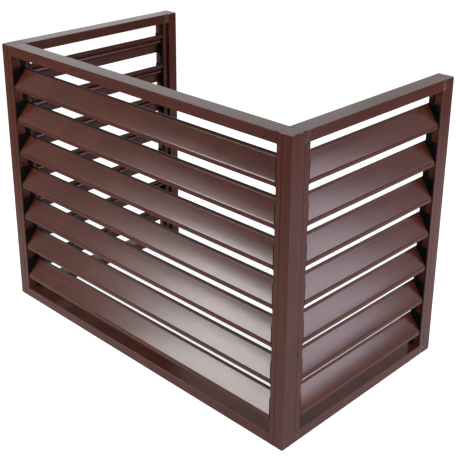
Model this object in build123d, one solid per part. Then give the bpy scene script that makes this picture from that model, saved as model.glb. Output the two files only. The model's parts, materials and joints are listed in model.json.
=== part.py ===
"""Louvred screen that stands round the outdoor unit of an air conditioner.

The screen has a U-shaped plan: a front panel and two side panels, open at the back, top and bottom.
Its own frame has its origin on the ground at the centre of the plan, +X along the front from left to
right, +Y from the front to the back and +Z up. Everything is in millimetres.
"""

from build123d import *
import math
import os

os.makedirs("parts", exist_ok=True)

# Overall size
overall_width = 950.0
overall_depth = 550.0
overall_height = 700.0

# Posts: rectangular tubes with the caps that close them
front_post_width = 37.0
rear_post_width = 28.0
post_depth = 40.0
post_wall = 1.6
post_corner_chamfer = 0.8
seam_groove_from_corner = 23.5
seam_groove_width = 1.2
seam_groove_depth = 0.6
cap_thickness = 2.0
cap_corner_chamfer = 2.4
cap_skirt_depth = 6.0
cap_skirt_wall = 1.8
cap_skirt_clearance = 0.25
cap_edge_chamfer = 0.5

# Rails and slim stiles of the panels
rail_height = 25.0
rail_wall = 1.5
rail_corner_chamfer = 0.6
stile_width = 15.0
stile_depth = 32.0
stile_wall = 1.4
stile_corner_chamfer = 0.6

# Corner blocks of the side panels and plugs of the front rails
tongue_length = 22.0
tongue_clearance = 0.2
block_corner_chamfer = 0.6
post_tongue_length = 19.0
post_tongue_width = 20.0
post_tongue_height = 8.0
plug_length = 24.0

# Louvre blades: section of the extrusion, seen from its end
blades_per_panel = 7
blade_height = 56.0
blade_rear_depth = 31.0
blade_sheet = 1.4
nose_inset = 2.0
nose_lip_height = 10.0
nose_box_depth = 9.5
nose_radius = 7.0
nose_bottom_chamfer = 1.6
upstand_height = 8.0
port_from_front = 21.5
port_outer_radius = 3.3
port_bore_radius = 1.7
port_slit = 1.5
port_sides = 8
blade_end_clearance = 0.3

# Blade holders: black strips with a plate and two pegs at each blade end
holder_thickness = 3.0
holder_strip_width = 12.5
holder_rear_margin = 1.0
holder_front_margin = 1.2
holder_plate_drop = 1.0
holder_rail_clearance = 0.4
peg_length = 9.0
peg_clearance = 0.2
peg_sides = 4

# Screws
screw_shank_diameter = 4.0
screw_head_diameter = 7.6
screw_head_height = 2.2
screw_sides = 8
frame_screw_length = 16.0
stile_screw_length = 9.0
rail_screw_length = 8.0
screw_hole_clearance = 0.2
front_screw_from_corner = 30.0
front_screw_from_end = 30.0
plug_screw_from_face = 8.0
stile_screw_from_end = 36.0
rail_screw_from_end = 13.0
rear_screw_from_rear = 16.0
rear_screw_from_end = 20.0
holder_screw_diameter = 3.0
holder_screw_head_diameter = 5.6
holder_screw_head_height = 1.6
holder_screw_length = 9.0

# One overrun for every cut
overrun = 1.0

# Places that follow from the sizes above
half_width = overall_width / 2
half_depth = overall_depth / 2
front_y = -half_depth
rear_y = half_depth
opening_height = overall_height - 2 * rail_height
front_opening_half = half_width - front_post_width
side_post_from_y = front_y + post_depth
side_post_to_y = rear_y - rear_post_width
side_opening_from_y = side_post_from_y + stile_width
side_opening_to_y = side_post_to_y - stile_width
side_opening_length = side_opening_to_y - side_opening_from_y
blade_gap = (opening_height - blades_per_panel * blade_height) / (blades_per_panel + 1)
blade_pitch = blade_height + blade_gap
lowest_blade_z = rail_height + blade_gap
side_names = {-1: "left", 1: "right"}
end_names = {-1: "front", 1: "rear"}


def save(node, shape):
    """Write one named sub-part."""
    export_step(shape, f"parts/{node}.step")


def group(solids):
    """Keep identical separate solids together under one name."""
    return Compound(children=list(solids))


def tube_section(width, depth, wall, corner_chamfer):
    """The section of a tube, with its outer corners broken by a small chamfer."""
    outer = Rectangle(width, depth)
    outer = chamfer(outer.vertices(), corner_chamfer)
    return outer - Rectangle(width - 2 * wall, depth - 2 * wall)


def upright_post(width, depth, height):
    """A post tube that stands on z = 0, centred on the axis."""
    return extrude(tube_section(width, depth, post_wall, post_corner_chamfer), height)


def lying_rail(length):
    """A rail along X, centred on its own axis."""
    section = tube_section(post_depth, rail_height, rail_wall, rail_corner_chamfer)
    return extrude(Plane.YZ * section, length / 2, both=True)


# Screws have their flat head at z = 0 and their tip below, and are turned to their faces afterwards

def countersunk_screw(shank_diameter, head_diameter, head_height, length):
    """A screw with a countersunk head, its round parts drawn with few sides."""
    flat_share = math.cos(math.pi / screw_sides)
    narrowing = flat_share * (head_diameter - shank_diameter) / 2
    taper = math.degrees(math.atan2(narrowing, head_height))
    head = extrude(RegularPolygon(head_diameter / 2, screw_sides), head_height, taper=taper)
    shank = extrude(RegularPolygon(shank_diameter / 2, screw_sides), length)
    return Rot(180, 0, 0) * (head + shank)


def screw_cutter(shank_diameter, head_diameter, head_height, length):
    """The hole that the screw sits in, a little wider than the screw all round."""
    wider = 2 * screw_hole_clearance
    hole = countersunk_screw(
        shank_diameter + wider,
        head_diameter + wider,
        head_height,
        length + screw_hole_clearance,
    )
    return hole + extrude(RegularPolygon((head_diameter + wider) / 2, screw_sides), overrun)


def frame_screw(length):
    """A screw of the frame, flush with the face."""
    return countersunk_screw(screw_shank_diameter, screw_head_diameter, screw_head_height, length)


def frame_screw_hole(length):
    """The hole for a screw of the frame."""
    return screw_cutter(screw_shank_diameter, screw_head_diameter, screw_head_height, length)


# Locations whose +Z points out of the face that a screw head lies in

def on_front_face(x, z):
    """A place on the front face, with the screw's axis along Y."""
    return Pos(x, front_y, z) * Rot(90, 0, 0)


def on_side_face(side, y, z):
    """A place on the outer face of a side, with the screw's axis along X; side is -1 or 1."""
    return Pos(side * half_width, y, z) * Rot(0, side * 90, 0)


def frame_screw_places():
    """Every frame screw as (location, length), with the same list used for screws and holes."""
    places = []
    rail_axis_heights = (rail_height / 2, overall_height - rail_height / 2)
    rear_heights = (rear_screw_from_end, overall_height - rear_screw_from_end)
    end_heights = (front_screw_from_end, overall_height - front_screw_from_end)
    stile_heights = (stile_screw_from_end, overall_height - stile_screw_from_end)
    for side in (-1, 1):
        front_x = side * (half_width - front_screw_from_corner)
        for z in end_heights:
            places.append(("front_post", side, on_front_face(front_x, z), frame_screw_length))
        for z in rail_axis_heights:
            for y in (front_y + plug_screw_from_face, front_y + post_depth - plug_screw_from_face):
                length = front_post_width + plug_length / 2
                places.append(("front_post", side, on_side_face(side, y, z), length))
            for y in (
                side_opening_from_y + rail_screw_from_end,
                side_opening_to_y - rail_screw_from_end,
            ):
                places.append(("rail", side, on_side_face(side, y, z), rail_screw_length))
        for z in rear_heights:
            rear_screw_y = rear_y - rear_screw_from_rear
            places.append(("rear_post", side, on_side_face(side, rear_screw_y, z), frame_screw_length))
        for z in stile_heights:
            for y in (
                side_post_from_y + stile_width / 2,
                side_post_to_y - stile_width / 2,
            ):
                places.append(("stile", side, on_side_face(side, y, z), stile_screw_length))
    return places


frame_screws = frame_screw_places()


def cut_frame_holes(shape, kinds, side):
    """Cut the holes of the screws of these kinds on this side."""
    for kind, screw_side, place, length in frame_screws:
        if kind in kinds and screw_side == side:
            shape = shape - place * frame_screw_hole(length)
    return shape


# Blade holders stand at both ends of an opening. A holder's own frame has the blades' outer face
# towards -Y and the holder from x = 0 to -holder_thickness; the other end of the panel mirrors it.

def holder_places(panel):
    """The ends of a panel as (end name, location, hand), where hand -1 means mirrored."""
    if panel == "front":
        left_end = Pos(-front_opening_half, front_y, 0)
        right_end = Pos(front_opening_half, front_y, 0)
        return (("left", left_end, -1), ("right", right_end, 1))
    side = 1 if panel == "right" else -1
    turn = Rot(0, 0, side * 90)
    front_end = Pos(side * half_width, side_opening_from_y, 0) * turn
    rear_end = Pos(side * half_width, side_opening_to_y, 0) * turn
    return (("front", front_end, -side), ("rear", rear_end, side))


panel_depths = {"front": post_depth, "left": stile_depth, "right": stile_depth}


def holder_screw_places():
    """Every holder screw as (the upright that it goes into, location on the strip's open face)."""
    gap_middle = lowest_blade_z - blade_gap / 2
    third = blades_per_panel // 3
    gaps = (0, third, blades_per_panel - third, blades_per_panel)
    places = []
    for panel, depth in panel_depths.items():
        strip_middle = depth - holder_rear_margin - holder_strip_width / 2
        for end, location, hand in holder_places(panel):
            upright = f"front_{end}_post" if panel == "front" else f"{panel}_{end}_stile"
            for gap in gaps:
                on_strip = Pos(-hand * holder_thickness, strip_middle, gap_middle + gap * blade_pitch)
                places.append((upright, location * on_strip * Rot(0, -hand * 90, 0)))
    return places


holder_screw_list = holder_screw_places()


def cut_holder_holes(shape, upright):
    """Cut the holes of the holder screws that go into this upright."""
    for screw_upright, place in holder_screw_list:
        if screw_upright == upright:
            shape = shape - place * screw_cutter(
                holder_screw_diameter,
                holder_screw_head_diameter,
                holder_screw_head_height,
                holder_screw_length,
            )
    return shape


def post_tongue(side, end, top, clearance):
    """The tongue of a corner block that reaches through the wall of its post, or its window."""
    from_end = rail_height / 2 if end < 0 else rear_screw_from_end
    centre_z = overall_height - from_end if top else from_end
    post_y = side_post_from_y if end < 0 else side_post_to_y
    length = post_tongue_length + clearance
    return Pos(side * (half_width - post_depth / 2), post_y + end * length / 2, centre_z) * Box(
        post_tongue_width + 2 * clearance,
        length,
        post_tongue_height + 2 * clearance,
    )


# Posts

def front_post(side):
    """A front corner post with its fine seam groove up the front face."""
    tube_height = overall_height - 2 * cap_thickness
    centre_x = side * (half_width - front_post_width / 2)
    centre_y = front_y + post_depth / 2
    tube = upright_post(front_post_width, post_depth, tube_height)
    tube = Pos(centre_x, centre_y, cap_thickness) * tube
    groove_x = side * (half_width - seam_groove_from_corner)
    groove = Pos(groove_x, front_y, overall_height / 2) * Box(
        seam_groove_width,
        2 * seam_groove_depth,
        overall_height,
    )
    tube = cut_frame_holes(tube - groove, ("front_post",), side)
    for top in (True, False):
        tube = tube - post_tongue(side, -1, top, tongue_clearance)
    return cut_holder_holes(tube, f"front_{side_names[side]}_post")


def rear_post(side):
    """A rear post, narrower seen from the side."""
    tube_height = overall_height - 2 * cap_thickness
    tube = upright_post(post_depth, rear_post_width, tube_height)
    tube = Pos(side * (half_width - post_depth / 2), rear_y - rear_post_width / 2, cap_thickness) * tube
    for top in (True, False):
        tube = tube - post_tongue(side, 1, top, tongue_clearance)
    return cut_frame_holes(tube, ("rear_post",), side)


def post_cap(width, depth):
    """A cap with its plate on z = 0 to cap_thickness and a hollow skirt that hangs in the tube."""
    outline = Rectangle(width, depth)
    plate = extrude(chamfer(outline.vertices(), cap_corner_chamfer), cap_thickness)
    plate = chamfer(plate.edges().group_by(Axis.Z)[-1], cap_edge_chamfer)
    skirt_width = width - 2 * post_wall - 2 * cap_skirt_clearance
    skirt_depth = depth - 2 * post_wall - 2 * cap_skirt_clearance
    skirt = Rectangle(skirt_width, skirt_depth) - Rectangle(
        skirt_width - 2 * cap_skirt_wall,
        skirt_depth - 2 * cap_skirt_wall,
    )
    return plate + extrude(skirt, -cap_skirt_depth)


for side, side_name in side_names.items():
    front_place = (side * (half_width - front_post_width / 2), front_y + post_depth / 2)
    rear_place = (side * (half_width - post_depth / 2), rear_y - rear_post_width / 2)
    save(f"front_{side_name}_post", front_post(side))
    save(f"rear_{side_name}_post", rear_post(side))
    for end_name, place, cap in (
        (f"front_{side_name}", front_place, post_cap(front_post_width, post_depth)),
        (f"rear_{side_name}", rear_place, post_cap(post_depth, rear_post_width)),
    ):
        top = Pos(place[0], place[1], overall_height - cap_thickness) * cap
        bottom = Pos(place[0], place[1], cap_thickness) * Rot(180, 0, 0) * cap
        save(f"{end_name}_top_cap", top)
        save(f"{end_name}_bottom_cap", bottom)


# Rails

def front_rail(centre_z):
    """A rail between the two front posts."""
    length = 2 * front_opening_half
    rail = Pos(0, front_y + post_depth / 2, centre_z) * lying_rail(length)
    for side in (-1, 1):
        rail = cut_frame_holes(rail, ("front_post",), side)
    return rail


def side_rail(side, centre_z):
    """A rail between the corner blocks of a side panel."""
    rail = lying_rail(side_opening_length)
    centre_y = (side_opening_from_y + side_opening_to_y) / 2
    rail = Pos(side * (half_width - post_depth / 2), centre_y, centre_z) * Rot(0, 0, 90) * rail
    return cut_frame_holes(rail, ("rail",), side)


top_rail_z = overall_height - rail_height / 2
bottom_rail_z = rail_height / 2
save("front_top_rail", front_rail(top_rail_z))
save("front_bottom_rail", front_rail(bottom_rail_z))
for side, side_name in side_names.items():
    save(f"{side_name}_top_rail", side_rail(side, top_rail_z))
    save(f"{side_name}_bottom_rail", side_rail(side, bottom_rail_z))


# Plugs inside the ends of the front rails

def front_rail_plug(side, centre_z):
    """A plug that takes the two screws which come through the post."""
    plug = Box(
        plug_length,
        post_depth - 2 * rail_wall - 2 * tongue_clearance,
        rail_height - 2 * rail_wall - 2 * tongue_clearance,
    )
    centre_x = side * (front_opening_half - plug_length / 2)
    centre_y = front_y + post_depth / 2
    plug = Pos(centre_x, centre_y, centre_z) * plug
    return cut_frame_holes(plug, ("front_post",), side)


save(
    "front_rail_plugs",
    group(front_rail_plug(side, z) for side in (-1, 1) for z in (bottom_rail_z, top_rail_z)),
)


# Corner blocks: the short pieces that join a side rail, its stile and the post

def corner_block(side, end, top):
    """A block at the front (end = -1) or rear (end = 1) of a side panel, at its top or bottom."""
    centre_x = side * (half_width - post_depth / 2)
    centre_z = top_rail_z if top else bottom_rail_z
    post_y = side_post_from_y if end < 0 else side_post_to_y
    centre_y = post_y - end * stile_width / 2
    outline = Rectangle(post_depth, rail_height)
    outline = chamfer(outline.vertices(), block_corner_chamfer)
    body = extrude(Plane.XZ * outline, stile_width / 2, both=True)
    body = Pos(centre_x, centre_y, centre_z) * body
    rail_tongue = Box(
        post_depth - 2 * rail_wall - 2 * tongue_clearance,
        tongue_length,
        rail_height - 2 * rail_wall - 2 * tongue_clearance,
    )
    tongue_y = centre_y - end * (stile_width / 2 + tongue_length / 2)
    rail_tongue = Pos(centre_x, tongue_y, centre_z) * rail_tongue
    stile_x = side * (half_width - stile_depth / 2)
    stile_tongue = Box(
        stile_depth - 2 * stile_wall - 2 * tongue_clearance,
        stile_width - 2 * stile_wall - 2 * tongue_clearance,
        tongue_length,
    )
    down = -1 if top else 1
    stile_tongue_z = centre_z + down * (rail_height / 2 + tongue_length / 2)
    stile_tongue = Pos(stile_x, centre_y, stile_tongue_z) * stile_tongue
    block = body + rail_tongue + stile_tongue + post_tongue(side, end, top, 0)
    post_kind = "front_post" if end < 0 else "rear_post"
    block = cut_frame_holes(block, ("rail", "stile", post_kind), side)
    return cut_holder_holes(block, f"{side_names[side]}_{end_names[end]}_stile")


for side, side_name in side_names.items():
    for end, end_name in end_names.items():
        for level_name, top in (("top", True), ("bottom", False)):
            save(f"{side_name}_{end_name}_{level_name}_corner_block", corner_block(side, end, top))


# Slim stiles of the side panels

def side_stile(side, end):
    """A stile between the corner blocks, flush with the outer face and shallower than the post."""
    section = tube_section(stile_depth, stile_width, stile_wall, stile_corner_chamfer)
    stile = extrude(section, opening_height)
    post_y = side_post_from_y if end < 0 else side_post_to_y
    centre_y = post_y - end * stile_width / 2
    stile = Pos(side * (half_width - stile_depth / 2), centre_y, rail_height) * stile
    stile = cut_frame_holes(stile, ("stile",), side)
    return cut_holder_holes(stile, f"{side_names[side]}_{end_names[end]}_stile")


for side, side_name in side_names.items():
    for end, end_name in end_names.items():
        save(f"{side_name}_{end_name}_stile", side_stile(side, end))


# Louvre blades. The section has u from the panel's outer face inwards and h up from the drip edge.

slope_run = blade_rear_depth - blade_sheet - nose_inset
slope_rise = blade_height - upstand_height - nose_lip_height
slope_angle = math.atan2(slope_rise, slope_run)
slope_drop = blade_sheet / math.cos(slope_angle)


def slope_face_height(u):
    """Height of the sloping outer face at a depth u."""
    return nose_lip_height + (u - nose_inset) * slope_rise / slope_run


def slope_back_height(u):
    """Height of the back of the sloping sheet at a depth u."""
    return slope_face_height(u) - slope_drop


def port_centre():
    """Centre of the screw port under the sloping sheet."""
    distance = blade_sheet + port_bore_radius + (port_outer_radius - port_bore_radius) / 2
    u = port_from_front + distance * math.sin(slope_angle)
    h = slope_face_height(port_from_front) - distance * math.cos(slope_angle)
    return u, h


def blade_section():
    """The extrusion's section: upstand, sloping sheet, nose box with drip lip, and a screw port."""
    nose_back = nose_inset + nose_box_depth
    outline = FilletPolyline(
        (blade_rear_depth - blade_sheet, blade_height),
        (blade_rear_depth - blade_sheet, blade_height - upstand_height),
        (nose_inset, nose_lip_height),
        (nose_inset, nose_bottom_chamfer),
        (nose_inset + nose_bottom_chamfer, 0),
        (nose_back, 0),
        (nose_back, slope_back_height(nose_back)),
        (blade_rear_depth, slope_back_height(blade_rear_depth)),
        (blade_rear_depth, blade_height),
        radius=(0, 0, nose_radius, 0, 0, 0, 0, 0, 0),
        close=True,
    )
    hollow_front = nose_inset + blade_sheet
    hollow_back = nose_back - blade_sheet
    hollow = Polyline(
        (hollow_front, blade_sheet),
        (hollow_back, blade_sheet),
        (hollow_back, slope_back_height(hollow_back)),
        (hollow_front, slope_back_height(hollow_front)),
        close=True,
    )
    port_u, port_h = port_centre()
    port = Pos(port_u, port_h) * RegularPolygon(port_outer_radius, port_sides)
    bore = Pos(port_u, port_h) * RegularPolygon(port_bore_radius, port_sides)
    slit_length = port_outer_radius + overrun
    slit = Pos(slit_length / 2, 0) * Rectangle(slit_length, port_slit)
    slit = Pos(port_u, port_h) * Rot(0, 0, math.degrees(slope_angle) - 90) * slit
    return make_face(outline) - make_face(hollow) + port - bore - slit


section = blade_section()


def blade(length):
    """A blade along X, centred, with its outer face towards -Y and its drip edge on z = 0."""
    return extrude(Plane.YZ * section, length / 2, both=True)


front_blade_length = 2 * (front_opening_half - holder_thickness - blade_end_clearance)
side_blade_length = side_opening_length - 2 * (holder_thickness + blade_end_clearance)
front_blade = Pos(0, front_y, 0) * blade(front_blade_length)
side_centre_y = (side_opening_from_y + side_opening_to_y) / 2
right_blade = Pos(half_width, side_centre_y, 0) * Rot(0, 0, 90) * blade(side_blade_length)
left_blade = Pos(-half_width, side_centre_y, 0) * Rot(0, 0, -90) * blade(side_blade_length)

for panel_name, shape in (("front", front_blade), ("left", left_blade), ("right", right_blade)):
    for number in range(blades_per_panel):
        height = lowest_blade_z + (blades_per_panel - 1 - number) * blade_pitch
        save(f"{panel_name}_blade_{number + 1}", Pos(0, 0, height) * shape)


# Blade holders, with pegs that point along -X, into the blade

def port_peg():
    """A peg with few sides for the blade's screw port."""
    port_u, port_h = port_centre()
    flat = RegularPolygon(port_bore_radius - peg_clearance, peg_sides)
    return Pos(0, port_u, port_h) * extrude(Plane.YZ * flat, -holder_thickness - peg_length)


def nose_peg():
    """A flat peg for the hollow nose of the blade."""
    hollow_front = nose_inset + blade_sheet + peg_clearance
    hollow_back = nose_inset + nose_box_depth - blade_sheet - peg_clearance
    bottom = blade_sheet + peg_clearance
    outline = Polyline(
        (hollow_front, bottom),
        (hollow_back, bottom),
        (hollow_back, slope_back_height(hollow_back) - peg_clearance),
        (hollow_front, slope_back_height(hollow_front) - peg_clearance),
        close=True,
    )
    return extrude(Plane.YZ * make_face(outline), -holder_thickness - peg_length)


def blade_holder(member_depth):
    """A strip up the whole opening with a plate and two pegs at each blade."""
    strip_height = opening_height - 2 * holder_rail_clearance
    strip_rear = member_depth - holder_rear_margin
    strip_front = strip_rear - holder_strip_width
    strip = Pos(-holder_thickness / 2, (strip_front + strip_rear) / 2, overall_height / 2) * Box(
        holder_thickness,
        holder_strip_width,
        strip_height,
    )
    plate_length = strip_front - holder_front_margin
    plate_height = blade_height + holder_plate_drop
    plate = Pos(
        -holder_thickness / 2,
        holder_front_margin + plate_length / 2,
        plate_height / 2 - holder_plate_drop,
    ) * Box(holder_thickness, plate_length, plate_height)
    lug = plate + port_peg() + nose_peg()
    holder = strip
    for step in range(blades_per_panel):
        holder = holder + Pos(0, 0, lowest_blade_z + step * blade_pitch) * lug
    return holder


def holder_screw():
    """A screw that fastens a blade holder, flush with the strip."""
    return countersunk_screw(
        holder_screw_diameter,
        holder_screw_head_diameter,
        holder_screw_head_height,
        holder_screw_length,
    )


for panel, depth in panel_depths.items():
    holder = blade_holder(depth)
    for end, location, hand in holder_places(panel):
        upright = f"front_{end}_post" if panel == "front" else f"{panel}_{end}_stile"
        shape = holder if hand > 0 else mirror(holder, Plane.YZ)
        save(f"{panel}_{end}_blade_holder", cut_holder_holes(location * shape, upright))

save("holder_screws", group(place * holder_screw() for upright, place in holder_screw_list))
save("frame_screws", group(place * frame_screw(length) for kind, side, place, length in frame_screws))
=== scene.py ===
"""Looks of the louvred screen that stands round the outdoor unit of an air conditioner.

Everything is in metres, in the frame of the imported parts: +X along the front, +Y to the open back, +Z up.
"""

import json
import logging
import math
from collections.abc import Callable, Iterable, Iterator, Sequence
from contextlib import contextmanager
from dataclasses import dataclass, replace
from enum import Enum
from itertools import pairwise, product

import bmesh
import bpy
from mathutils import Matrix, Vector

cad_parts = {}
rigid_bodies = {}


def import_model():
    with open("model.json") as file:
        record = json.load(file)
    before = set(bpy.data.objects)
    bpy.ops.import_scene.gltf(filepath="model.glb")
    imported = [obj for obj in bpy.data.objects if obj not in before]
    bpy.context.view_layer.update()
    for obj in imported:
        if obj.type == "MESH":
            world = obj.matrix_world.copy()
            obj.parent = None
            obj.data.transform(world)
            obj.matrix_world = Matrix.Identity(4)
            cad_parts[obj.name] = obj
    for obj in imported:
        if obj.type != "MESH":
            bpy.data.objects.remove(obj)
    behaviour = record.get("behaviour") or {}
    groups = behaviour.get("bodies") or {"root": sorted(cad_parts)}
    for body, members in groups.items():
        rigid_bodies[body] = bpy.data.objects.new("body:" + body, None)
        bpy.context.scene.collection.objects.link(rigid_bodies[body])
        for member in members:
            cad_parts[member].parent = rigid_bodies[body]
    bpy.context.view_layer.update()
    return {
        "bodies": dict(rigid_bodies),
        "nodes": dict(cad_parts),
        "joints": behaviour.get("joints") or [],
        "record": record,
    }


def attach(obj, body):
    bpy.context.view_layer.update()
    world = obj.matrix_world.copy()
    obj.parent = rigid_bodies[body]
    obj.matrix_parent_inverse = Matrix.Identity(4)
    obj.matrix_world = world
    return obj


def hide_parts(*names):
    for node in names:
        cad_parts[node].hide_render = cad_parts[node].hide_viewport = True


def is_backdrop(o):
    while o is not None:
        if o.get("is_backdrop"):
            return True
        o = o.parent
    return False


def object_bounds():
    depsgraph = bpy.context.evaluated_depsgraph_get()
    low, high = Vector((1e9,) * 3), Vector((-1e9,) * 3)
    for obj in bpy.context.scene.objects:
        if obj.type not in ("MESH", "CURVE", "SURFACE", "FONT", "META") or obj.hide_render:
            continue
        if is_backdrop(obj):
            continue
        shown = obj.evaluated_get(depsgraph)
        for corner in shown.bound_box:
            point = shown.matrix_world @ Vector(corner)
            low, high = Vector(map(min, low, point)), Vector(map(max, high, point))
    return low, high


Colour = tuple[float, float, float]
Where = Callable[[Vector, Vector], bool]

MM = 0.001
CLOSE = 0.01 * MM  # places that lie nearer than this count as one
PARALLEL = 0.99  # directions whose cosine is above this count as one
QUARTER_TURN = math.radians(90)
WHITE = (1.0, 1.0, 1.0, 1.0)
PHOTO_WIDTH = 456
PHOTO_HEIGHT = 465
BODY = "root"
LOG = logging.getLogger("screen")


class Slot(Enum):
    """The record's material slots."""

    COAT = "powder_coated_aluminium"
    CAPS = "powder_coated_caps"
    BLOCKS = "powder_coated_blocks"
    PLASTIC = "black_plastic"
    SCREWS = "painted_screws"


class Axis(Enum):
    """The three directions, by their place in a vector."""

    X = 0
    Y = 1
    Z = 2


class Place(Enum):
    """A place on the screen, whose name is part of the names of the nodes."""

    @property
    def word(self) -> str:
        """The name as the nodes have it."""
        return self.name.lower()


class Side(Place):
    """Left and right of the screen, with the sign of X."""

    LEFT = -1
    RIGHT = 1


class End(Place):
    """Front and rear of a side panel, with the sign of Y."""

    FRONT = -1
    REAR = 1


class Level(Place):
    """Top and bottom, with the sign of Z."""

    TOP = 1
    BOTTOM = -1


def unit(axis: Axis, sign: int = 1) -> Vector:
    """The unit vector along an axis, in one sense of it."""
    return Vector([float(sign) if one is axis else 0.0 for one in Axis])


def heading(azimuth: float, elevation: float) -> Vector:
    """The direction at an azimuth and an elevation, both in degrees."""
    turn, rise = math.radians(azimuth), math.radians(elevation)
    return Vector((math.cos(turn) * math.cos(rise), math.sin(turn) * math.cos(rise), math.sin(rise)))


# Selections, which look at the middle of a face or edge and at its normal or direction

def everywhere(middle: Vector, way: Vector) -> bool:
    """Select everything."""
    return True


def facing(direction: Vector) -> Where:
    """Select the faces that look in a direction."""
    return lambda middle, way: way.dot(direction) > PARALLEL


def along(axis: Axis) -> Where:
    """Select the edges that run along an axis, or the faces whose normals do."""
    return lambda middle, way: abs(way[axis.value]) > PARALLEL


def at(axis: Axis, place: float, reach: float = CLOSE) -> Where:
    """Select what lies at a place along an axis, or within a reach of it."""
    return lambda middle, way: abs(middle[axis.value] - place) < reach


def near_line(axis: Axis, point: Vector, reach: float = CLOSE) -> Where:
    """Select what lies near the line along an axis through a point.

    Args:
        axis: The line's direction.
        point: A point on it.
        reach: The greatest distance from it.

    Returns:
        The selection.
    """

    def near(middle: Vector, way: Vector) -> bool:
        """Tell whether a face or edge lies near the line.

        Args:
            middle: Its middle.
            way: Its normal or direction, which makes no difference.

        Returns:
            Whether the middle is within reach of the line.
        """
        sideways = middle - point
        sideways[axis.value] = 0.0
        return sideways.length < reach

    return near


def all_of(*tests: Where) -> Where:
    """Select what passes every one of several selections."""
    return lambda middle, way: all(test(middle, way) for test in tests)


def any_of(*tests: Where) -> Where:
    """Select what passes at least one of several selections."""
    return lambda middle, way: any(test(middle, way) for test in tests)


# The bench: a mesh and the operators that shape it

@dataclass(frozen=True)
class Extent:
    """A box round something."""

    low: Vector
    high: Vector

    @classmethod
    def around(cls, points: Iterable[Vector]) -> "Extent":
        """The box round some points."""
        places = list(zip(*(tuple(point) for point in points)))
        return cls(Vector([min(values) for values in places]), Vector([max(values) for values in places]))

    @property
    def size(self) -> Vector:
        """Width, depth and height."""
        return self.high - self.low

    @property
    def centre(self) -> Vector:
        """The middle."""
        return (self.low + self.high) / 2

    def limit(self, axis: Axis, sign: int) -> float:
        """The lower or upper end along an axis."""
        return (self.high if sign > 0 else self.low)[axis.value]

    def meets(self, other: "Extent") -> bool:
        """Whether two boxes overlap."""
        return all(self.low[i] < other.high[i] and other.low[i] < self.high[i] for i in range(3))


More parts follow.
